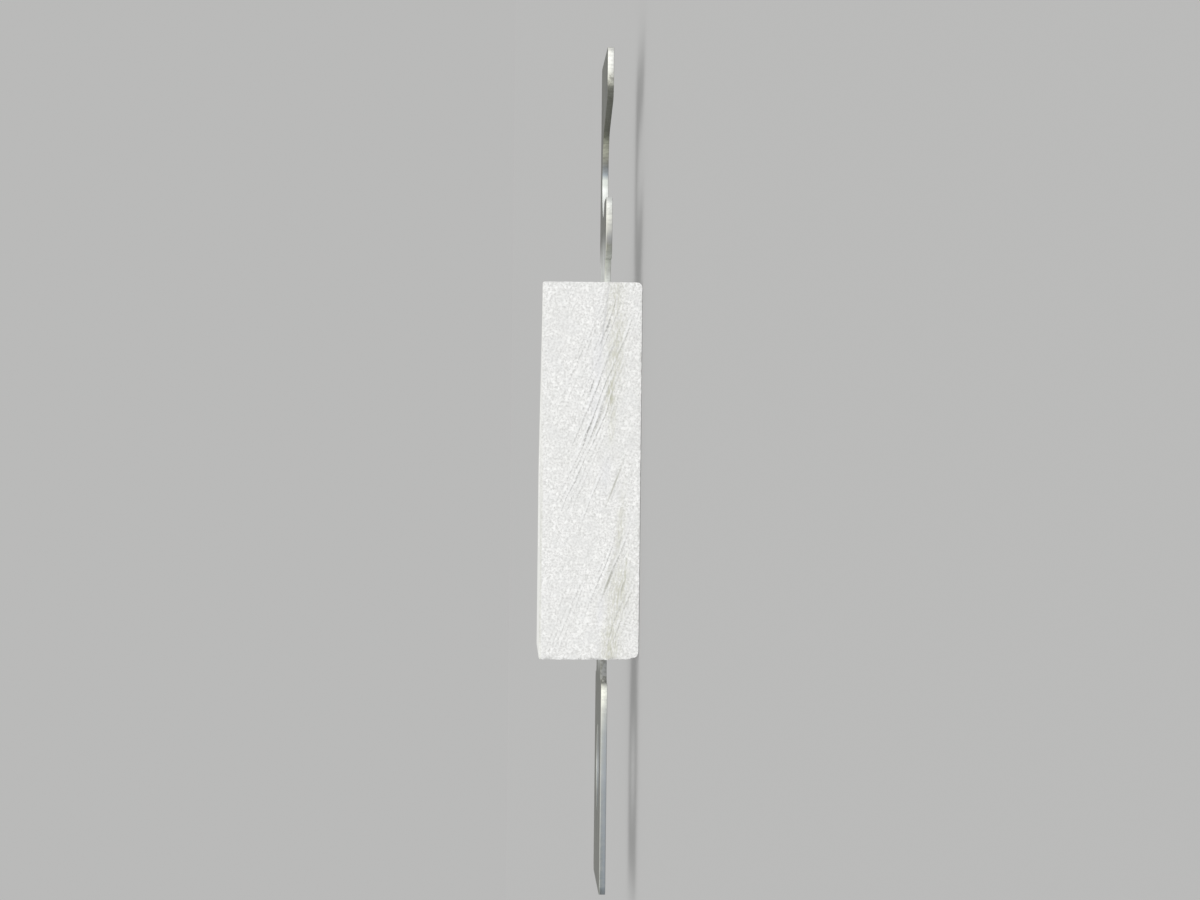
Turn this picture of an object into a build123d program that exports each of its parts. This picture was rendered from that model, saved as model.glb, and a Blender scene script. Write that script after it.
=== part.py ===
"""Bolt-down strip fuse: a stamped fuse strip held between two insulating body halves, with a mica
window over the link.

The fuse lies flat, as it is bolted down. X runs along the strip, with the side-entry slot at +X,
Y runs across it, with the slot's mouth at -Y, and Z runs up through the body's thickness. The
origin is under the middle of the body, on the face that it rests on. Millimetres.
"""

import os
from math import acos, atan2, cos, hypot, sin, sqrt

from build123d import *

os.makedirs("parts", exist_ok=True)

# ---- Fuse strip ----
strip_thickness = 0.6
terminal_width = 19.2
terminal_corner = 0.9  # outer corners of each terminal
shoulder_offset = 2.35  # from the body's end face to a terminal's shoulder
shoulder_depth = 3.1  # from a terminal's side in to the neck's side
shoulder_corner = 1.0  # where a shoulder meets the terminal's side
shoulder_root = 1.2  # where a shoulder meets the neck

# ---- Bolt openings ----
stud_spacing = 58.5  # between the centres of the two openings
stud_to_tip = 11.25  # from each opening's centre to its terminal's tip
bolt_hole_radius = 4.3
seat_radius = 4.4  # round seat at the inner end of the side-entry slot
mouth_inboard = 3.1  # seat centre to the lip on the body's side
mouth_outboard = 6.4  # seat centre to the lip on the tip's side
inboard_lip_radius = 0.8
outboard_lip_radius = 1.5
seat_blend_radius = 1.6  # between the inboard lip's side and the round seat

# ---- Fusible link ----
link_length = 15.0
link_width = 6.6
link_root = 2.0  # where the link widens into the necks
notch_radius = 1.9  # each notch bites this far into the link's side
notch_pitch = 5.4  # between the two pairs of notches

# ---- Body ----
body_length = 35.9
body_width = 22.0
base_thickness = 3.2  # resting face to the joint between the halves
cover_thickness = 6.3  # joint between the halves to the window face
base_end_radius = 0.6  # rounds the resting face into the end faces
cover_end_radius = 0.25  # rounds the window face into the end faces

# ---- Arc chamber and window ----
chamber_length = 21.0
chamber_width = 14.6
chamber_corner = 2.0
chamber_floor_gap = 1.3  # below the strip, in the base
window_wall = 1.5  # cover left above the pane
window_length = 16.0  # at the outer face
window_width = 9.0
window_corner = 1.6
window_taper = 12  # degrees that the window's sides lean in towards the pane
pane_thickness = 0.4

# ---- Fits ----
neck_clearance = 0.1  # each side of a neck in its groove
pane_clearance = 0.15  # each side of the pane in the chamber

# ---- Levels and places that follow ----
strip_bottom = base_thickness - strip_thickness / 2
strip_top = base_thickness + strip_thickness / 2
body_top = base_thickness + cover_thickness
pane_top = body_top - window_wall
shoulder_x = body_length / 2 + shoulder_offset
stud_x = stud_spacing / 2
strip_length = stud_spacing + 2 * stud_to_tip
strip_edge = terminal_width / 2
neck_width = terminal_width - 2 * shoulder_depth
groove_width = neck_width + 2 * neck_clearance
past = terminal_width  # how far a side cut runs out past the strip's edge


def corners_at(sketch, *places):
    """The sketch's corners that lie at the given (x, y) places."""
    return [sketch.vertices().sort_by_distance((x, y, 0))[0] for x, y in places]


# ---------------------------------------------------------------------------------------------
# Fuse strip: one stamping. The blank is notched at its sides for the necks and the link, and
# pierced for the two studs.
# ---------------------------------------------------------------------------------------------

# The slot's outboard side starts at its lip and meets the round seat tangentially, seat_turn round
# from the X axis. Its inboard side runs square to the strip's edge until it cuts the seat's circle.
lip_distance = hypot(mouth_outboard, strip_edge)
seat_turn = acos(seat_radius / lip_distance) - atan2(strip_edge, mouth_outboard)
seat_touch = (stud_x + seat_radius * cos(seat_turn), seat_radius * sin(seat_turn))
outboard_lip = (stud_x + mouth_outboard, -strip_edge)
inboard_lip = (stud_x - mouth_inboard, -strip_edge)
seat_cut = (stud_x - mouth_inboard, -sqrt(seat_radius**2 - mouth_inboard**2))
side_slope = (outboard_lip[0] - seat_touch[0]) / (seat_touch[1] - outboard_lip[1])

with BuildPart() as fuse_strip:
    with BuildSketch(Plane.XY.offset(strip_bottom)) as stamping:
        RectangleRounded(strip_length, terminal_width, terminal_corner)

        # Side cuts from shoulder to shoulder leave the necks.
        neck_cut_y = neck_width / 2 + past / 2
        with Locations((0, neck_cut_y), (0, -neck_cut_y)):
            RectangleRounded(2 * shoulder_x, past, shoulder_root, mode=Mode.SUBTRACT)
        shoulders = [(x, y) for x in (-shoulder_x, shoulder_x) for y in (-strip_edge, strip_edge)]
        fillet(corners_at(stamping, *shoulders), radius=shoulder_corner)

        # Deeper cuts leave the link, and round notches narrow it where it melts.
        link_cut_y = link_width / 2 + past / 2
        with Locations((0, link_cut_y), (0, -link_cut_y)):
            RectangleRounded(link_length, past, link_root, mode=Mode.SUBTRACT)
        with GridLocations(notch_pitch, link_width, 2, 2):
            Circle(notch_radius, mode=Mode.SUBTRACT)

        # Closed bolt hole at -X.
        with Locations((-stud_x, 0)):
            Circle(bolt_hole_radius, mode=Mode.SUBTRACT)

        # Side-entry slot at +X: a round seat with a mouth that flares towards the strip's tip.
        with Locations((stud_x, 0)):
            Circle(seat_radius, mode=Mode.SUBTRACT)
        with BuildLine():
            Polyline(
                seat_touch,
                outboard_lip,
                (outboard_lip[0] + side_slope * past, -strip_edge - past),
                (inboard_lip[0], -strip_edge - past),
                (inboard_lip[0], 0),
                close=True,
            )
        make_face(mode=Mode.SUBTRACT)
        fillet(corners_at(stamping, seat_cut), radius=seat_blend_radius)
        fillet(corners_at(stamping, inboard_lip), radius=inboard_lip_radius)
        fillet(corners_at(stamping, outboard_lip), radius=outboard_lip_radius)
    extrude(amount=strip_thickness)

fuse_strip.part.label = "fuse_strip"
export_step(fuse_strip.part, "parts/fuse_strip.step")

# ---------------------------------------------------------------------------------------------
# Body base: the thin half. Half the strip's thickness is let into its joint face.
# ---------------------------------------------------------------------------------------------

with BuildPart() as body_base:
    with BuildSketch(Plane.XZ) as base_profile:
        Rectangle(body_length, base_thickness, align=(Align.CENTER, Align.MIN))
        fillet(base_profile.vertices().group_by(Axis.Y)[0], radius=base_end_radius)
    extrude(amount=body_width / 2, both=True)

    with BuildSketch(Plane.XY.offset(strip_bottom)):
        Rectangle(body_length, groove_width)
    extrude(amount=strip_thickness / 2, mode=Mode.SUBTRACT)

    with BuildSketch(Plane.XY.offset(strip_bottom - chamber_floor_gap)):
        RectangleRounded(chamber_length, chamber_width, chamber_corner)
    extrude(until=Until.LAST, mode=Mode.SUBTRACT)

body_base.part.label = "body_base"
export_step(body_base.part, "parts/body_base.step")

# ---------------------------------------------------------------------------------------------
# Body cover: the thick half, with the arc chamber over the link and the window through its top.
# ---------------------------------------------------------------------------------------------

with BuildPart() as body_cover:
    with BuildSketch(Plane.XZ) as cover_profile:
        with Locations((0, base_thickness)):
            Rectangle(body_length, cover_thickness, align=(Align.CENTER, Align.MIN))
        fillet(cover_profile.vertices().group_by(Axis.Y)[-1], radius=cover_end_radius)
    extrude(amount=body_width / 2, both=True)

    with BuildSketch(Plane.XY.offset(base_thickness)):
        Rectangle(body_length, groove_width)
    extrude(amount=strip_thickness / 2, mode=Mode.SUBTRACT)

    with BuildSketch(Plane.XY.offset(base_thickness)):
        RectangleRounded(chamber_length, chamber_width, chamber_corner)
    extrude(amount=pane_top - base_thickness, mode=Mode.SUBTRACT)

    with BuildSketch(Plane.XY.offset(body_top)):
        RectangleRounded(window_length, window_width, window_corner)
    extrude(amount=-window_wall, taper=window_taper, mode=Mode.SUBTRACT)

body_cover.part.label = "body_cover"
export_step(body_cover.part, "parts/body_cover.step")

# ---------------------------------------------------------------------------------------------
# Window pane: a mica plate that fills the top of the chamber and bears on the window's ledge.
# ---------------------------------------------------------------------------------------------

with BuildPart() as window_pane:
    with BuildSketch(Plane.XY.offset(pane_top)):
        RectangleRounded(
            chamber_length - 2 * pane_clearance,
            chamber_width - 2 * pane_clearance,
            chamber_corner - pane_clearance,
        )
    extrude(amount=-pane_thickness)

window_pane.part.label = "window_pane"
export_step(window_pane.part, "parts/window_pane.step")
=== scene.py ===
"""The looks of a bolt-down strip fuse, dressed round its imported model.

The fuse strip is plated and bright at its sheared edges, the two body halves are gritty white ceramic
with narrow sides that were sanded flush, and a mica pane closes the window over the link. X runs along
the strip, with the bolt hole at -X and the side-entry slot at +X. Y runs across it, with the slot's
mouth at -Y, and Z runs up through the body to the window face. Lengths are in metres, except that
materials, wear and tones are laid out in millimetres.
"""

import math

import bmesh
import bpy
from mathutils import Matrix, Vector, noise


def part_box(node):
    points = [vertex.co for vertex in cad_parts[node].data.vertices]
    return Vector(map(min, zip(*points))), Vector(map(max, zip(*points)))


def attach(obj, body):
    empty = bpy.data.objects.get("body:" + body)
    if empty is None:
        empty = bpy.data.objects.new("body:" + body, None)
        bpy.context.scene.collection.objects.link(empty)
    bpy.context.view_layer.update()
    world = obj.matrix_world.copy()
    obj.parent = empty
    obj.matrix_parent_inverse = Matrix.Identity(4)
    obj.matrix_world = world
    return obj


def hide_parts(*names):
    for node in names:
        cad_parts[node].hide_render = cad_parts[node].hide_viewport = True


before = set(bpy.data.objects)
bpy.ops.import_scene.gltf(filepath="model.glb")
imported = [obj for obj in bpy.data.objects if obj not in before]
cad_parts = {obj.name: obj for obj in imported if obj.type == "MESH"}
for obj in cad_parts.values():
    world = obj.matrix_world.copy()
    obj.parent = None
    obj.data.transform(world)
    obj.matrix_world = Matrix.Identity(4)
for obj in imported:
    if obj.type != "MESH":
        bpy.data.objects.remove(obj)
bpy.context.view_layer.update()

MM = 0.001
TOUCHING = 0.001 * MM  # what is no further apart than this is in one place
X, Y, Z = range(3)
strip_low, strip_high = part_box("fuse_strip")
body_low, base_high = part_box("body_base")
body_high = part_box("body_cover")[1]
joint_z = base_high.z  # the joint between the halves, at the strip's mid-plane
body_end = body_high.x
body_side = body_high.y

# ---- Light and backdrop ----
SKY_STRENGTH = 0.75
WHITE = (1.0, 1.0, 1.0)
BACKDROP = (0.49, 0.49, 0.485)
SHADOW_KEPT = 0.5  # how much of its shadows the floor shows
FLOOR_REACH = 20.0  # each way from the fuse
FLOOR_GAP = 0.02 * MM  # below the resting face
SUNS = [  # direction towards the lamp, what a face square to it gains, angle across in degrees
    ("front_light", Vector((0.25, -0.85, 0.38)), 0.54, 80),
    ("back_light", Vector((-0.50, 0.80, 0.35)), 0.22, 80),
]

# ---- Camera ----
CAMERA_DISTANCE = 302 * MM
CAMERA_LENS = 95.07
CAMERA_NEAR = 10 * MM
CAMERA_DROP = math.radians(1.65)  # how far it looks down at the window side
CAMERA_ROLL = math.radians(0.62)
AIM_ALONG = 1.99 * MM  # from the body's middle towards the slot
AIM_ABOVE_JOINT = 0.65 * MM

# ---- Shape of the strip's rims ----
SHEARED_OVER = math.radians(60)  # faces that meet at more than this meet at a sheared rim
LOW_RIM_ROLL = 0.04 * MM
HIGH_RIM_ROLL = 0.025 * MM

# ---- Shape of the body's wear ----
WINDOW_RIM_ROLL = 0.14 * MM
SLICES = ((Z, 0.2 * MM), (Y, 0.3 * MM), (X, 0.2 * MM))  # how finely a half is cut up before it is worn
OUTSIDE = 0.9 * MM  # what lies deeper in the body is inside it, and its edges stay as they are
ON_FACE = 0.01 * MM  # what lies no deeper than this is on an outer face
EDGE_RADIUS = 0.10 * MM
EDGE_RADIUS_SWING = 0.06 * MM
LEAST_EDGE_RADIUS = 0.03 * MM
CHIP_RADIUS = 0.15 * MM  # what a chip adds to an edge's radius
RAW_CHIP_RADIUS = 0.6 * MM  # what it adds besides at the raw end
END_PITS = 0.02 * MM
SIDE_PITS = 0.018 * MM
RAW_PITS = 0.15 * MM  # what the raw end adds to the depth of its face's pits
RAW_END = 2.6 * MM  # how far in from the hole's end the body is raw
BROKEN_CORNER = 1.5 * MM  # height of the low corner that is broken there
BROKEN_BACK = 0.5 * MM  # about how far it is broken back
FACE_FALL = 0.24 * MM  # how far the window face falls towards its far corner at the slot's end
FALL_REACH = 0.9 * MM  # how far below the window face the fall is felt

# ---- Wear on the narrow sides, in millimetres: along, up, half-length, half-width, strength ----
SCRATCH_LEAN = 0.38  # how far a scratch rises for each millimetre towards the hole's end
SCRATCH_PITCH = 0.46
SCRATCHES = [
    (13.6, 3.4, 3.2, 0.9, 0.85),
    (12.8, 1.6, 1.8, 0.5, 0.60),
    (11.0, 5.2, 3.2, 0.9, 0.45),
    (8.0, 4.2, 3.0, 1.3, 0.90),
    (4.7, 4.5, 3.0, 1.0, 1.15),
    (-0.8, 6.2, 3.4, 1.0, 0.50),
    (-2.0, 4.6, 2.6, 0.6, 0.50),
    (-9.0, 2.8, 3.2, 0.8, 0.85),
    (-13.6, 1.7, 2.2, 0.6, 0.70),
    (-12.0, 6.0, 2.4, 0.9, 0.30),
    (-14.8, 7.4, 2.4, 0.7, 0.25),
]
GOUGES = [
    (4.6, 4.1, 1.8, 0.07, 0.50),
    (-1.3, 2.5, 1.7, 0.09, 1.00),
    (-9.2, 2.8, 2.8, 0.22, 0.30),
    (-10.5, 3.0, 0.9, 0.13, 1.10),
    (-10.9, 1.6, 0.7, 0.09, 0.80),
]
STAIN_LEAN = 0.08
STAINS = [
    (16.0, 2.6, 3.0, 0.80, 0.65),
    (11.0, 2.5, 4.6, 0.75, 0.85),
    (7.4, 2.9, 1.8, 0.45, 1.30),
    (5.0, 2.7, 2.2, 0.35, 0.60),
    (-5.6, 1.9, 3.4, 0.40, 0.65),
    (-9.6, 1.35, 2.2, 0.12, 1.00),
    (-11.8, 2.0, 3.0, 1.00, 0.85),
    (-16.4, 2.7, 2.8, 0.85, 1.00),
]
CEMENT_SMEARS = [
    (16.0, 3.9, 2.0, 0.40, 0.50),
    (10.6, 4.2, 2.2, 0.60, 1.00),
    (6.4, 4.4, 1.6, 0.60, 0.80),
    (-0.2, 3.3, 1.6, 0.50, 1.00),
    (-13.6, 3.7, 1.6, 0.30, 1.00),
    (-16.6, 3.9, 1.2, 0.30, 0.50),
]
HAIRLINE = (14.6, 3.55, 4.5, 0.10, 0.11)  # here the last number is its lean
SHADED_RIM_DEPTHS = (0.32, 0.05)  # below the window face: where the painted shade starts, and where it is full

# ---- Tones of the ceramic ----
DARK_GRIT = (0.66, 0.66, 0.645)
PALE_GRIT = (0.95, 0.95, 0.94)
BRIGHT_GRAIN = (1.0, 1.0, 0.99)
DARK_GRAIN = (0.58, 0.58, 0.565)
PORE = (0.64, 0.64, 0.62)
WARM_DRIFT = (0.74, 0.745, 0.72)
GREY_BLOTCH = (0.78, 0.785, 0.78)
# Painted shade on the broad faces.
SHADED_BROAD_FACE = (0.68, 0.69, 0.65)
OLIVE_STAIN = (0.55, 0.55, 0.45)
SCRATCH = (0.40, 0.40, 0.39)
SCRATCH_RIDGE = (0.98, 0.98, 0.99)
GOUGE = (0.36, 0.36, 0.30)
# Painted shade along the narrow sides' rim under the window face.
SHADED_RIM = (0.60, 0.61, 0.55)
CEMENT = (0.75, 0.755, 0.79)
DARK_JOINT = (0.50, 0.505, 0.52)

# ---- Tones of the strip's broad faces ----
UNSHADED_GROOVE = (0.73, 0.75, 0.73)
UNSHADED_RIDGE = (0.83, 0.85, 0.83)
# Painted shade: the darker tones of the broad faces beyond the unshaded stretch.
SHADED_GROOVE = (0.36, 0.365, 0.345)
SHADED_RIDGE = (0.50, 0.505, 0.48)
DULL_CLOUD = (0.34, 0.345, 0.33)
UNSHADED_STRETCH = (-17.5, 20.5)  # along the strip, the stretch without painted shade: what is inside the body, and the slot end's neck
PAINTED_SHADE_SPAN = (0.3, 4.3)  # beyond that stretch: where the painted shade starts, and where it is full
CLOUDING = 3.0  # how far the clouds shift both, in millimetres

# ---- Tones of the strip's sheared sides ----
SHEAR_STREAK = (0.38, 0.38, 0.35)
COOL_SIDE = (0.33, 0.37, 0.42)
# A painted highlight along the sheared sides' upper rim.
RIM_HIGHLIGHT = (0.90, 0.90, 0.78)
FLECK = (0.22, 0.22, 0.19)
WORN_LIP = (36.7, 37.7, 0.25)  # along the strip: from, to, and how softly it ends, like the next two
WORN_NECK = (-20.2, -17.0, 0.3)
SLOT = (22.5, 36.8, 0.15)
SHADE_STREAKED = (28.5, 30.5)  # along the slot's far side: where the painted shade's dark streaks start, and where they are full
# Painted shade: dark streaks on the slot's far side.
SLOT_SHADE_STREAKS = (0.10, 0.10, 0.08)
PLATING_TINT = (0.12, 0.12, 0.115)  # how much the metal mirrors at a grazing angle
PLATING_HAZE = 0.4545  # how far the plating is from bare, mirroring metal, on the sheared sides and where the broad faces carry no painted shade

# Painted light and shade on the narrow sides, from the hole's tip to the slot's, in millimetres along
# the strip: painted shade at the hole's tip, the hole end's neck, the slot end's shoulder and the
# outboard lip, and painted highlights on the hole end's shoulder, the slot end's neck, the inboard lip
# and the slot's tip.
SIDE_LIGHT_AND_SHADE = [
    (-40.5, (0.21, 0.235, 0.245)),
    (-31.0, (0.31, 0.33, 0.34)),
    (-29.0, (0.38, 0.40, 0.41)),
    (-25.2, (0.41, 0.43, 0.42)),
    (-22.9, (0.61, 0.62, 0.575)),
    (-21.4, (0.96, 0.97, 0.87)),  # the hole end's shoulder
    (-20.5, (0.94, 0.95, 0.86)),
    (-19.8, (0.56, 0.56, 0.55)),
    (-19.3, (0.36, 0.365, 0.36)),  # the hole end's neck
    (17.9, (0.86, 0.88, 0.84)),  # the slot end's neck
    (19.3, (0.53, 0.545, 0.505)),
    (20.2, (0.83, 0.86, 0.79)),
    (20.95, (0.32, 0.33, 0.29)),  # the slot end's shoulder
    (21.4, (0.235, 0.235, 0.195)),
    (22.1, (0.285, 0.285, 0.29)),
    (22.9, (0.54, 0.54, 0.50)),
    (24.2, (0.80, 0.80, 0.73)),
    (26.2, (0.88, 0.90, 0.88)),  # the slot's inboard lip
    (36.8, (0.41, 0.41, 0.34)),  # its outboard lip
    (38.7, (0.97, 0.97, 0.92)),
    (40.5, (0.98, 0.98, 0.93)),
]

# Painted light and shade on the slot's far side, from its seat out to the outboard lip, in millimetres
# along the strip: a painted highlight inboard of the stud's centre, and painted shade in olive grey
# outboard of it.
SLOT_LIGHT_AND_SHADE = [
    (27.9, (0.96, 0.98, 0.95)),
    (28.4, (0.73, 0.76, 0.72)),
    (28.9, (0.73, 0.76, 0.72)),
    (29.4, (0.36, 0.40, 0.43)),
    (30.2, (0.24, 0.25, 0.25)),
    (30.9, (0.40, 0.40, 0.345)),
    (31.8, (0.56, 0.57, 0.47)),
    (32.3, (0.50, 0.51, 0.42)),
    (33.1, (0.235, 0.245, 0.20)),
    (33.5, (0.19, 0.195, 0.165)),
    (36.0, (0.20, 0.205, 0.18)),
]

# ---- Tones of the mica ----
AMBER = (0.55, 0.46, 0.28)
PALE_AMBER = (0.74, 0.68, 0.50)


# ---------------------------------------------------------------------------------------------
# Node trees
# ---------------------------------------------------------------------------------------------


class NodeTree:
    """The node tree of a material or a world, built up node by node."""

    def __init__(self, owner):
        owner.use_nodes = True
        self.tree = owner.node_tree
        self.tree.nodes.clear()

    def node(self, kind, inputs=(), **settings):
        made = self.tree.nodes.new(kind)
        for name, value in settings.items():
            setattr(made, name, value)
        for socket, value in dict(inputs).items():
            self.feed(made.inputs[socket], value)
        return made

    def feed(self, socket, value):
        """Links an output to the socket, or sets a colour or a number on it."""
        if isinstance(value, bpy.types.NodeSocket):
            self.tree.links.new(value, socket)
        elif isinstance(value, tuple):
            socket.default_value = (*value, 1.0)
        else:
            socket.default_value = value

    def maths(self, operation, *values):
        made = self.node("ShaderNodeMath", operation=operation)
        for socket, value in zip(made.inputs, values):
            self.feed(socket, value)
        return made.outputs[0]

    def times(self, a, b):
        return self.maths("MULTIPLY", a, b)

    def times_plus(self, a, b, c):
        """a * b + c"""
        return self.maths("MULTIPLY_ADD", a, b, c)

    def larger(self, a, b):
        return self.maths("MAXIMUM", a, b)

    def seen_as_backdrop(self):
        """1 where a camera, glossy or transmission ray meets the surface."""
        ray = self.node("ShaderNodeLightPath").outputs
        seen = self.larger(ray["Is Camera Ray"], ray["Is Glossy Ray"])
        return self.larger(seen, ray["Is Transmission Ray"])


class Finish(NodeTree):
    """A material of the fuse. Its places are object coordinates in millimetres."""

    def __init__(self, name):
        self.material = bpy.data.materials.new(name)
        super().__init__(self.material)
        place = self.node("ShaderNodeTexCoord").outputs["Object"]
        in_mm = self.node("ShaderNodeVectorMath", inputs={0: place, "Scale": 1 / MM}, operation="SCALE")
        self.place = in_mm.outputs["Vector"]
        split = self.node("ShaderNodeSeparateXYZ", inputs={"Vector": self.place})
        self.x, self.y, self.z = split.outputs
        normal = self.node("ShaderNodeNewGeometry").outputs["Normal"]
        facing = self.node("ShaderNodeSeparateXYZ", inputs={"Vector": normal})
        self.facing_x, self.facing_y, self.facing_z = facing.outputs

    def join(self, x, y, z):
        return self.node("ShaderNodeCombineXYZ", inputs={"X": x, "Y": y, "Z": z}).outputs[0]

    def fade(self, value, low, high, start=0.0, end=1.0):
        """Start at low, end at high, and a smooth change between them. Low may be the larger one.

        Noise gathers round 0.5, so low and high tell how much of a face a mark made of noise covers.
        """
        made = self.node("ShaderNodeMapRange", interpolation_type="SMOOTHSTEP")
        for socket, number in zip(made.inputs, (value, low, high, start, end)):
            self.feed(socket, number)
        return made.outputs[0]

    def band(self, value, low, high, soft):
        """1 between low and high, fading to 0 over soft beyond each."""
        rise = self.fade(value, low - soft, low)
        return self.times(rise, self.fade(value, high, high + soft, 1, 0))

    def absolute(self, value):
        return self.maths("ABSOLUTE", value)

    def speckle(self, scale, detail=2.0, vector=None, roughness=0.5, distortion=0.0):
        """Noise about 0 to 1, with that many grains in a millimetre."""
        inputs = {"Vector": vector or self.place, "Scale": scale, "Detail": detail}
        inputs |= {"Roughness": roughness, "Distortion": distortion}
        return self.node("ShaderNodeTexNoise", inputs=inputs).outputs[0]

    def cells(self, scale):
        """A random number from 0 to 1 for each of that many cells in a millimetre."""
        made = self.node("ShaderNodeTexVoronoi", inputs={"Vector": self.place, "Scale": scale})
        return self.node("ShaderNodeSeparateColor", inputs={"Color": made.outputs["Color"]}).outputs[0]

    def random(self, number):
        """A random number from 0 to 1 for each whole number."""
        made = self.node("ShaderNodeTexWhiteNoise", noise_dimensions="1D", inputs={"W": number})
        return made.outputs["Value"]

    def mix(self, share, a, b):
        """The colour a, with that share of the colour b laid over it."""
        made = self.node("ShaderNodeMix", data_type="RGBA", clamp_factor=True)
        for index, value in ((0, share), (6, a), (7, b)):  # sockets 6 and 7 are the two colours
            self.feed(made.inputs[index], value)
        return made.outputs[2]

    def ramp(self, value, stops):
        """A colour that changes evenly from stop to stop, each a value and its colour."""
        low, high = stops[0][0], stops[-1][0]
        share = self.node("ShaderNodeMapRange", inputs={0: value, 1: low, 2: high})
        made = self.node("ShaderNodeValToRGB", inputs={0: share.outputs[0]})
        marks = made.color_ramp.elements
        while len(marks) < len(stops):
            marks.new(0.5)
        for mark, (place, colour) in zip(marks, stops):
            mark.position = (place - low) / (high - low)
            mark.color = (*colour, 1)
        return made.outputs[0]

    def bump(self, height, depth):
        """Height from 0 to 1 raises the surface by up to depth millimetres."""
        inputs = {"Height": height, "Distance": depth * MM, "Strength": 1.0}
        return self.node("ShaderNodeBump", inputs=inputs).outputs[0]

    def surface(self, **inputs):
        """Closes the material with a principled surface. An underscore stands for a space."""
        named = {name.replace("_", " "): value for name, value in inputs.items()}
        made = self.node("ShaderNodeBsdfPrincipled", inputs=named)
        self.node("ShaderNodeOutputMaterial", inputs={"Surface": made.outputs[0]})
        return self.material


# ---------------------------------------------------------------------------------------------
# Materials
# ---------------------------------------------------------------------------------------------


def patch(ceramic, along, up, half_length, half_width, lean):
    """A soft patch round (along, up) on the lean: 1 in its middle, about a third at its half-width."""
    off = ceramic.maths("SUBTRACT", ceramic.x, along)
    across = ceramic.maths("ADD", ceramic.times_plus(off, lean, ceramic.z), -up)
    far = ceramic.maths("POWER", ceramic.maths("DIVIDE", off, half_length), 2)
    wide = ceramic.maths("POWER", ceramic.maths("DIVIDE", across, half_width), 2)
    return ceramic.maths("EXPONENT", ceramic.times(ceramic.maths("ADD", far, wide), -1))


def patches(ceramic, places, lean):
    """The strongest of several patches, each given as along, up, half-length, half-width, strength."""
    strongest = 0.0
    for *shape, strength in places:
        here = ceramic.times(patch(ceramic, *shape, lean), strength)
        strongest = ceramic.larger(strongest, here)
    return strongest


def drawn_out(ceramic, across, along_scale, across_scale):
    """Noise about 0 to 1, drawn out the way across stays the same. The scales are features to a mm."""
    along = ceramic.times(ceramic.x, along_scale)
    course = ceramic.join(along, ceramic.y, ceramic.times(across, across_scale))
    return ceramic.speckle(1.0, roughness=0.6, vector=course)


def combed(ceramic, across):
    """Scratches side by side: 1 down the middle of each groove, and 1 along the ridge beside it."""
    jitter = ceramic.times(drawn_out(ceramic, across, 0.15, 1.0), 2.0)
    turns = ceramic.times_plus(across, 1 / SCRATCH_PITCH, jitter)
    within = ceramic.maths("FRACT", turns)
    each = ceramic.random(ceramic.maths("FLOOR", turns))
    reach = ceramic.times_plus(each, 0.3, drawn_out(ceramic, across, 0.28, 2.4))
    present = ceramic.fade(reach, 0.52, 0.70)
    groove = ceramic.fade(ceramic.absolute(ceramic.maths("SUBTRACT", within, 0.35)), 0.22, 0.06)
    ridge = ceramic.fade(ceramic.absolute(ceramic.maths("SUBTRACT", within, 0.75)), 0.24, 0.06)
    return ceramic.times(groove, present), ceramic.times(ridge, present)


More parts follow.
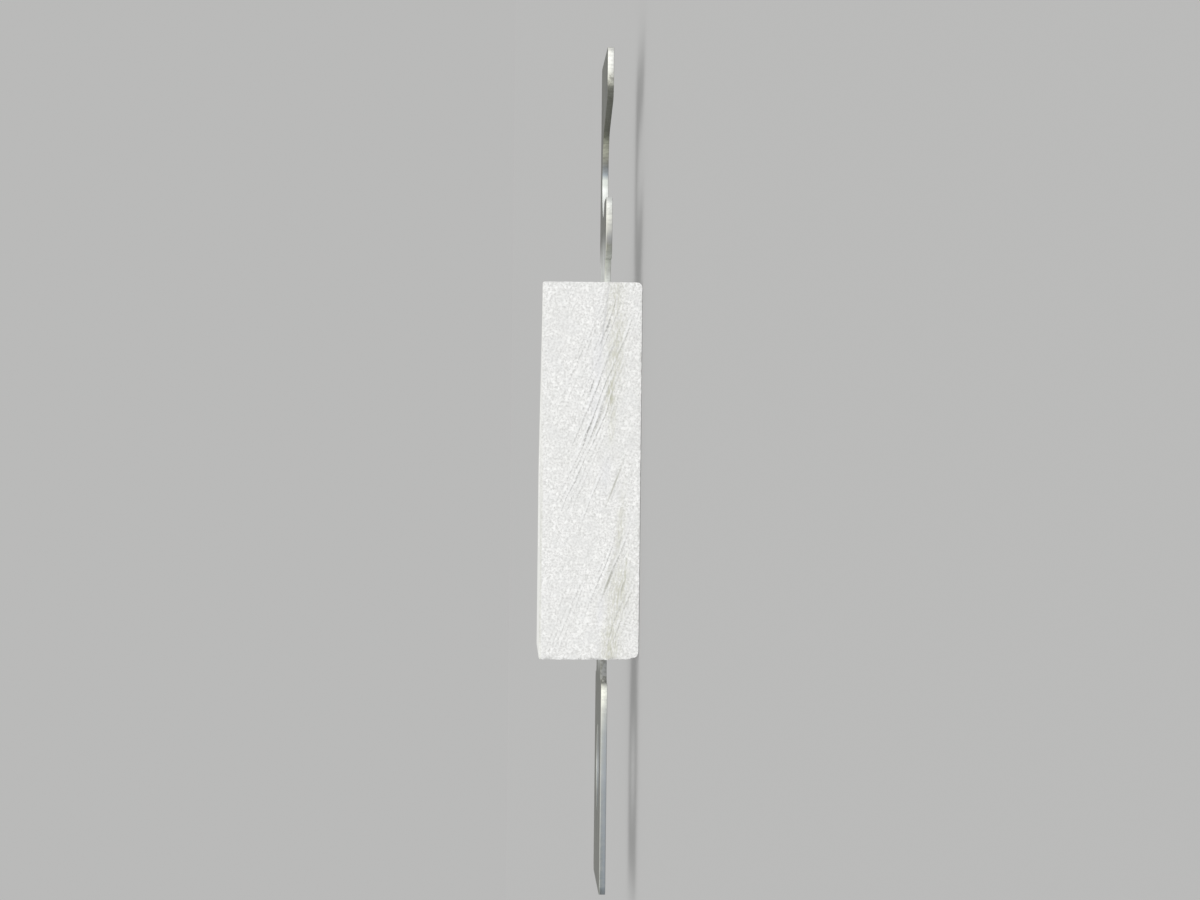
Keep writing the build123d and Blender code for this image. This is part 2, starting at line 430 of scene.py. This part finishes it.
def gritty_ceramic():
    """White ceramic: grain all over, and scratches, a stain and cement smears on the narrow sides, with
    painted shade on the broad faces and along the rim under the window face.
    """
    ceramic = Finish("gritty_ceramic")
    side = ceramic.fade(ceramic.absolute(ceramic.facing_y), 0.6, 0.9)
    broad = ceramic.fade(ceramic.absolute(ceramic.facing_z), 0.6, 0.9)

    # Grain: pale grit, darker pores between, and a slow drift of tone.
    grit = ceramic.speckle(5.0, detail=3, roughness=0.65)
    grains = ceramic.cells(4.6)
    pores = ceramic.speckle(2.6)
    drift = ceramic.speckle(0.22)
    blotches = ceramic.speckle(0.75)
    tone = ceramic.mix(ceramic.fade(grit, 0.30, 0.66), DARK_GRIT, PALE_GRIT)
    tone = ceramic.mix(ceramic.fade(grains, 0.80, 0.95, 0, 0.8), tone, BRIGHT_GRAIN)
    tone = ceramic.mix(ceramic.fade(grains, 0.20, 0.04, 0, 0.34), tone, DARK_GRAIN)
    tone = ceramic.mix(ceramic.fade(pores, 0.60, 0.76, 0, 0.30), tone, PORE)
    tone = ceramic.mix(ceramic.fade(drift, 0.35, 0.7, 0, 0.20), tone, WARM_DRIFT)
    tone = ceramic.mix(ceramic.fade(blotches, 0.45, 0.70, 0, 0.38), tone, GREY_BLOTCH)
    # Painted shade: the broad faces are darker and greener than the narrow sides.
    tone = ceramic.mix(ceramic.times(broad, 0.55), tone, SHADED_BROAD_FACE)

    # A dull olive stain in the base, drawn out in fibres.
    fibres = drawn_out(ceramic, ceramic.times_plus(ceramic.x, STAIN_LEAN, ceramic.z), 1.4, 6.0)
    fibres = ceramic.fade(fibres, 0.37, 0.60, 0.15, 1)
    stain = ceramic.times(patches(ceramic, STAINS, STAIN_LEAN), fibres)
    stain = ceramic.times(stain, ceramic.times(side, 0.85))
    tone = ceramic.mix(stain, tone, OLIVE_STAIN)

    # Sanding scratches lean across the narrow side, close together in a few worn patches.
    wander = ceramic.times(ceramic.speckle(0.10, detail=0), 1.6)
    across = ceramic.maths("ADD", ceramic.times_plus(ceramic.x, SCRATCH_LEAN, ceramic.z), wander)
    groove, ridge = combed(ceramic, across)
    where = ceramic.maths("ADD", patches(ceramic, SCRATCHES, SCRATCH_LEAN), 0.12)
    where = ceramic.times(where, side)
    broken = ceramic.times(where, ceramic.fade(grit, 0.62, 0.42, 0.25, 1))
    scratched = ceramic.times(groove, broken)
    tone = ceramic.mix(ceramic.times(scratched, 0.9), tone, SCRATCH)
    tone = ceramic.mix(ceramic.times(ceramic.times(ridge, where), 0.6), tone, SCRATCH_RIDGE)
    gouged = ceramic.times(patches(ceramic, GOUGES, SCRATCH_LEAN), ceramic.times(side, 0.7))
    tone = ceramic.mix(gouged, tone, GOUGE)

    # Painted shade: the narrow sides are greyer along the rim under the window face, more towards the
    # hole's end.
    starts, full = [body_high.z / MM - depth for depth in SHADED_RIM_DEPTHS]
    rim = ceramic.times(ceramic.fade(ceramic.z, starts, full), side)
    rim = ceramic.times(rim, ceramic.fade(ceramic.x, 6.0, -6.0, 0.15, 0.60))
    tone = ceramic.mix(rim, tone, SHADED_RIM)

    # The joint: cool smears of cement beside it, and a faint dark line near the slot's end.
    smears = ceramic.times(patches(ceramic, CEMENT_SMEARS, STAIN_LEAN), side)
    tone = ceramic.mix(ceramic.times(smears, 0.32), tone, CEMENT)
    hairline = ceramic.times(patch(ceramic, *HAIRLINE), side)
    tone = ceramic.mix(ceramic.times(hairline, 0.40), tone, DARK_JOINT)

    height = ceramic.times_plus(grit, 0.7, ceramic.times(scratched, -0.5))
    return ceramic.surface(
        Base_Color=tone,
        Roughness=ceramic.fade(grit, 0.2, 0.8, 0.78, 0.95),
        Specular_IOR_Level=0.3,
        Normal=ceramic.bump(height, 0.035),
    )


def broad_faces(plating, painted_shade, rolling, clouds):
    """The strip's broad faces: faint rolling lines, plain or darkened by painted shade, and clouds of a
    duller tone over both.
    """
    ridges = plating.fade(rolling, 0.3, 0.7)
    # The plain tones, and the darker ones that are painted shade.
    unshaded = plating.mix(ridges, UNSHADED_GROOVE, UNSHADED_RIDGE)
    shaded = plating.mix(ridges, SHADED_GROOVE, SHADED_RIDGE)
    tone = plating.mix(painted_shade, unshaded, shaded)
    return plating.mix(plating.fade(clouds, 0.45, 0.75, 0, 0.25), tone, DULL_CLOUD)


def sheared_sides(plating, striation):
    """The strip's narrow sides and its openings' walls, with upright striations from the shear, and
    painted light and shade along them.
    """
    low_face = strip_low.z / MM
    high_face = strip_high.z / MM
    outline = strip_low.y / MM
    streaks = plating.fade(striation, 0.62, 0.32, 0, 0.35)
    # The ramp along the strip is painted light and shade.
    tone = plating.mix(streaks, plating.ramp(plating.x, SIDE_LIGHT_AND_SHADE), SHEAR_STREAK)

    # Cooler low down, most at the hole's end, and a painted highlight along the upper rim.
    cool = plating.fade(plating.z, high_face - 0.15, low_face + 0.15)
    cool = plating.times(cool, plating.fade(plating.x, -20.0, -27.0, 0.12, 0.40))
    tone = plating.mix(cool, tone, COOL_SIDE)
    rim = plating.fade(plating.z, high_face - 0.12, high_face - 0.02)
    tone = plating.mix(plating.times(rim, 0.35), tone, RIM_HIGHLIGHT)

    # Dark flecks where the plating has gone: beside the slot's outboard lip and on the hole end's neck.
    flecks = plating.fade(plating.speckle(4.2), 0.42, 0.60)
    worn = plating.larger(plating.band(plating.x, *WORN_LIP), plating.band(plating.x, *WORN_NECK))
    tone = plating.mix(plating.times(plating.times(worn, flecks), 0.62), tone, FLECK)

    # The slot's far side: a painted highlight inboard of the stud's centre, and painted shade in olive
    # grey with dark streaks outboard of it. It is what faces the hole's end or lies in from the
    # outline, and doesn't face away.
    inwards = plating.fade(plating.y, outline + 0.2, outline + 0.6)
    in_slot = plating.larger(plating.fade(plating.facing_x, -0.03, -0.16), inwards)
    in_slot = plating.times(in_slot, plating.fade(plating.facing_y, 0.5, 0.2))
    in_slot = plating.times(in_slot, plating.band(plating.x, *SLOT))
    # The dark streaks are painted shade.
    shade_streaks = plating.fade(striation, 0.62, 0.32, 0, 0.4)
    shade_streaks = plating.times(shade_streaks, plating.fade(plating.x, *SHADE_STREAKED))
    far_side = plating.mix(shade_streaks, plating.ramp(plating.x, SLOT_LIGHT_AND_SHADE), SLOT_SHADE_STREAKS)
    return plating.mix(in_slot, tone, far_side)


def plated_strip():
    """Plated strip: satin rolled faces and bright sheared sides, with painted light and shade along the
    sides, in the slot and on the broad faces.
    """
    plating = Finish("plated_strip")
    sheared = plating.fade(plating.absolute(plating.facing_z), 0.75, 0.45)

    # The broad faces were rolled along the strip. Painted shade darkens them beyond its middle and the
    # slot end's neck, on the hole end's neck and out towards both tips.
    lines = plating.join(plating.times(plating.x, 0.10), plating.times(plating.y, 5.0), plating.z)
    rolling = plating.speckle(1.0, detail=3, roughness=0.6, vector=lines)
    clouds = plating.speckle(0.25, detail=3)
    past_slot_neck = plating.maths("SUBTRACT", plating.x, UNSHADED_STRETCH[1])
    past_hole_neck = plating.times_plus(plating.x, -1, UNSHADED_STRETCH[0])
    outward = plating.times_plus(clouds, CLOUDING, plating.larger(past_slot_neck, past_hole_neck))
    # Painted shade on the broad faces, beyond the unshaded stretch.
    painted_shade = plating.fade(outward, *PAINTED_SHADE_SPAN)
    broad = broad_faces(plating, painted_shade, rolling, clouds)

    # The sheared sides are striated upright.
    across = plating.times(plating.x, 4.0)
    inwards = plating.times(plating.y, 4.0)
    upright = plating.join(across, inwards, plating.times(plating.z, 1.6))
    striation = plating.speckle(1.0, detail=3, roughness=0.7, vector=upright)
    tone = plating.mix(sheared, broad, sheared_sides(plating, striation))

    hazy = plating.larger(sheared, plating.maths("SUBTRACT", 1, painted_shade))
    on_faces = plating.times(plating.maths("SUBTRACT", 1.0, sheared), plating.times(rolling, 0.35))
    return plating.surface(
        Base_Color=tone,
        Metallic=plating.times_plus(hazy, -PLATING_HAZE, 1.0),
        Roughness=plating.times_plus(plating.speckle(1.5), 0.20, 0.42),
        Specular_Tint=PLATING_TINT,
        Normal=plating.bump(plating.times_plus(sheared, striation, on_faces), 0.006),
    )


def mica():
    """Mica: a clear, slightly amber sheet with faint cleavage patches and specks."""
    sheet = Finish("mica")
    flakes = sheet.speckle(0.22, detail=3, roughness=0.55, distortion=0.8)
    cleavage = sheet.fade(flakes, 0.52, 0.60, 0.05, 0.13)
    specks = sheet.fade(sheet.speckle(3.5), 0.70, 0.78, 0, 0.35)
    return sheet.surface(
        Base_Color=sheet.mix(sheet.fade(flakes, 0.4, 0.7), AMBER, PALE_AMBER),
        Roughness=0.08,
        IOR=1.58,
        Alpha=sheet.maths("ADD", cleavage, specks),
    )


# ---------------------------------------------------------------------------------------------
# Pieces
# ---------------------------------------------------------------------------------------------


def merged_copy(node):
    """A bmesh of the node with its loose triangles merged and its flat faces made whole."""
    shape = bmesh.new()
    shape.from_mesh(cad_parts[node].data)
    bmesh.ops.remove_doubles(shape, verts=shape.verts, dist=TOUCHING)
    bmesh.ops.dissolve_limit(shape, angle_limit=math.radians(0.5), verts=shape.verts, edges=shape.edges)
    return shape


def at_level(edge, level):
    """Whether the edge lies in the plane z = level."""
    return all(abs(vertex.co.z - level) < TOUCHING for vertex in edge.verts)


def round_over(shape, edges, width, segments):
    bmesh.ops.bevel(shape, geom=edges, offset=width, offset_type="OFFSET", affect="EDGES",
                    segments=segments, profile=0.5, material=-1, clamp_overlap=True)


def linked(name, data):
    """A new object in the scene."""
    made = bpy.data.objects.new(name, data)
    bpy.context.scene.collection.objects.link(made)
    return made


def piece(shape, name, finish, node, sharp_over):
    """Turns the bmesh into a smooth-shaded piece that stands for the node."""
    mesh = bpy.data.meshes.new(name)
    bmesh.ops.triangulate(shape, faces=[face for face in shape.faces if len(face.verts) > 4])
    shape.to_mesh(mesh)
    shape.free()
    mesh.attributes.remove(mesh.attributes["custom_normal"])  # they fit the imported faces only
    mesh.shade_smooth()
    mesh.set_sharp_from_angle(angle=math.radians(sharp_over))
    mesh.materials.append(finish)
    made = linked(name, mesh)
    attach(made, "root")
    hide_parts(node)
    return made


def slice_across(shape, axis, low, high, step):
    """Cuts every face along planes about step apart, square to the axis."""
    square = Vector((0, 0, 0))
    square[axis] = 1
    count = round((high - low) / step)
    for turn in range(1, count):
        place = square * (low + (high - low) * turn / count)
        geometry = shape.verts[:] + shape.edges[:] + shape.faces[:]
        bmesh.ops.bisect_plane(shape, geom=geometry, dist=1e-7, plane_co=place, plane_no=square)


def ease_window(shape):
    """Rounds the window's outer rim a little. It lies within the pane's outline."""
    pane_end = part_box("window_pane")[1].x
    rim = [
        edge for edge in shape.edges
        if at_level(edge, body_high.z) and all(abs(vertex.co.x) < pane_end for vertex in edge.verts)
    ]
    round_over(shape, rim, WINDOW_RIM_ROLL, 3)


def worn(place, radius):
    """The place pulled in to a body whose edges are rounded to the radius."""
    inner = Vector([min(max(value, low + radius), high - radius)
                    for value, low, high in zip(place, body_low, body_high)])
    reach = place - inner
    return inner + reach * (radius / reach.length) if reach.length > radius else place


def edge_radius(in_mm, raw):
    """How far an edge is rounded there: more where it is chipped, and most at the raw end."""
    swing = EDGE_RADIUS_SWING * noise.noise(in_mm * 2.3)
    chip = max(0.0, noise.noise(in_mm * 1.1) - 0.10)
    radius = EDGE_RADIUS + swing + (CHIP_RADIUS + RAW_CHIP_RADIUS * raw) * chip
    return max(radius, LEAST_EDGE_RADIUS)


def pitted(in_mm):
    """How deep the face is pitted there, from 0 to 1."""
    relief = 0.15 + 0.9 * noise.noise(in_mm * 1.7) + 0.7 * noise.noise(in_mm * 5.1)
    return min(1.0, max(0.0, relief))


def broken_back(in_mm):
    """How far the low corner is broken back there, as an uneven share of BROKEN_BACK."""
    return 0.75 + 0.4 * noise.noise(in_mm * 0.9) + 0.3 * noise.noise(in_mm * 3.1)


def face_fall(place):
    """How far the window face has fallen there: most at its far corner at the slot's end."""
    slot_end = max(0.0, place.x / body_end)
    far_side = max(0.0, (place.y / body_side + 1) / 2)
    near_face = max(0.0, 1 - (body_high.z - place.z) / FALL_REACH)
    return FACE_FALL * (slot_end * far_side) * near_face


def roughen(shape):
    """Wears the body's outer edges and roughens its outer faces, always inwards."""
    middle = (body_low + body_high) / 2
    half = (body_high - body_low) / 2
    for vertex in shape.verts:
        place = vertex.co.copy()
        in_mm = place / MM
        depths = [size - abs(value - centre) for value, centre, size in zip(place, middle, half)]
        raw = max(0.0, 1 - (place.x + body_end) / RAW_END)
        low_corner = max(0.0, 1 - place.z / BROKEN_CORNER)
        if min(depths) < OUTSIDE:
            place = worn(place, edge_radius(in_mm, raw))
        for axis, pits in ((X, END_PITS + RAW_PITS * raw), (Y, SIDE_PITS)):
            if depths[axis] < ON_FACE:
                place[axis] -= math.copysign(pits * pitted(in_mm), place[axis])
        place.x += raw * low_corner * broken_back(in_mm) * BROKEN_BACK
        place.z -= face_fall(place)
        vertex.co = place


def body_half(name, node, finish):
    """One half of the body, with the window's rim eased and its outer faces worn."""
    shape = merged_copy(node)
    if node == "body_cover":
        ease_window(shape)
    low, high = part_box(node)
    for axis, step in SLICES:
        slice_across(shape, axis, low[axis], high[axis], step)
    roughen(shape)
    return piece(shape, name, finish, node, sharp_over=50)


def stamped_strip(finish):
    """The strip with its rims rolled over a little by the punch and the die."""
    shape = merged_copy("fuse_strip")
    sheared = [edge for edge in shape.edges if edge.calc_face_angle(0.0) > SHEARED_OVER]
    low_rim = [edge for edge in sheared if at_level(edge, strip_low.z)]
    high_rim = [edge for edge in sheared if at_level(edge, strip_high.z)]
    round_over(shape, low_rim, LOW_RIM_ROLL, 3)
    round_over(shape, high_rim, HIGH_RIM_ROLL, 2)
    made = piece(shape, "stamped_strip", finish, "fuse_strip", sharp_over=35)
    for face in made.data.polygons:  # the broad faces stay flat
        face.use_smooth = abs(face.normal.z) < 0.999
    for edge in made.data.edges:  # the rolled rim's shading stays off the flat of the sheared side
        levels = [made.data.vertices[index].co.z - strip_low.z for index in edge.vertices]
        if all(abs(level - LOW_RIM_ROLL) < TOUCHING for level in levels):
            edge.use_edge_sharp = True
    return made


def window_pane():
    """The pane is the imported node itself, in mica."""
    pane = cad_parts["window_pane"]
    pane.data.materials.clear()
    pane.data.materials.append(mica())


# ---------------------------------------------------------------------------------------------
# Room
# ---------------------------------------------------------------------------------------------


def light_on_floor():
    """How bright a white floor is, under the sky and the lamps."""
    return SKY_STRENGTH + sum(gain * towards.normalized().z for _, towards, gain, _ in SUNS)


def floor_paint():
    """As bright as the backdrop in the open, and darker in the fuse's shadow."""
    material = bpy.data.materials.new("floor_paint")
    paint = NodeTree(material)
    level = light_on_floor()
    lit_colour = tuple(value / level for value in BACKDROP)
    lit = paint.node("ShaderNodeBsdfDiffuse", inputs={"Color": lit_colour})
    glow = paint.node("ShaderNodeEmission", inputs={"Color": BACKDROP})
    share = paint.times(paint.seen_as_backdrop(), 1 - SHADOW_KEPT)
    both = paint.node("ShaderNodeMixShader", inputs={0: share, 1: lit.outputs[0], 2: glow.outputs[0]})
    paint.node("ShaderNodeOutputMaterial", inputs={"Surface": both.outputs[0]})
    return material


def pale_floor():
    """A wide floor, a hair below the resting face."""
    shape = bmesh.new()
    bmesh.ops.create_grid(shape, x_segments=1, y_segments=1, size=FLOOR_REACH)
    bmesh.ops.translate(shape, verts=shape.verts, vec=(0, 0, -FLOOR_GAP))
    mesh = bpy.data.meshes.new("floor")
    shape.to_mesh(mesh)
    shape.free()
    mesh.materials.append(floor_paint())
    linked("floor", mesh)


def sky():
    """An even white sky that is seen as the backdrop."""
    world = bpy.data.worlds.new("sky")
    bpy.context.scene.world = world
    air = NodeTree(world)
    light = air.node("ShaderNodeBackground", inputs={"Color": WHITE, "Strength": SKY_STRENGTH})
    backdrop = air.node("ShaderNodeBackground", inputs={"Color": BACKDROP})
    choice = {0: air.seen_as_backdrop(), 1: light.outputs[0], 2: backdrop.outputs[0]}
    both = air.node("ShaderNodeMixShader", inputs=choice)
    air.node("ShaderNodeOutputWorld", inputs={"Surface": both.outputs[0]})


def lamps():
    for name, towards, gain, across in SUNS:
        data = bpy.data.lights.new(name, "SUN")
        data.energy = gain * math.pi
        data.angle = math.radians(across)
        lamp = linked(name, data)
        lamp.rotation_euler = towards.to_track_quat("Z", "Y").to_euler()


def camera():
    """Looks at the narrow side with the slot's mouth, with the slot's end up."""
    look = Vector((0, math.cos(CAMERA_DROP), -math.sin(CAMERA_DROP)))
    upright = Vector((1, 0, 0))
    right = look.cross(upright)
    turned_right = right * math.cos(CAMERA_ROLL) + upright * math.sin(CAMERA_ROLL)
    turned_up = upright * math.cos(CAMERA_ROLL) - right * math.sin(CAMERA_ROLL)
    aim = Vector((AIM_ALONG, strip_low.y, joint_z + AIM_ABOVE_JOINT))
    data = bpy.data.cameras.new("camera")
    data.lens = CAMERA_LENS
    data.clip_start = CAMERA_NEAR
    made = linked("camera", data)
    turn = Matrix((turned_right, turned_up, -look)).transposed().to_4x4()
    made.matrix_world = Matrix.Translation(aim - look * CAMERA_DISTANCE) @ turn
    bpy.context.scene.camera = made


ceramic_finish = gritty_ceramic()
body_half("base_half", "body_base", ceramic_finish)
body_half("cover_half", "body_cover", ceramic_finish)
stamped_strip(plated_strip())
window_pane()

pale_floor()
sky()
lamps()
camera()
bpy.context.scene.view_settings.view_transform = "Standard"
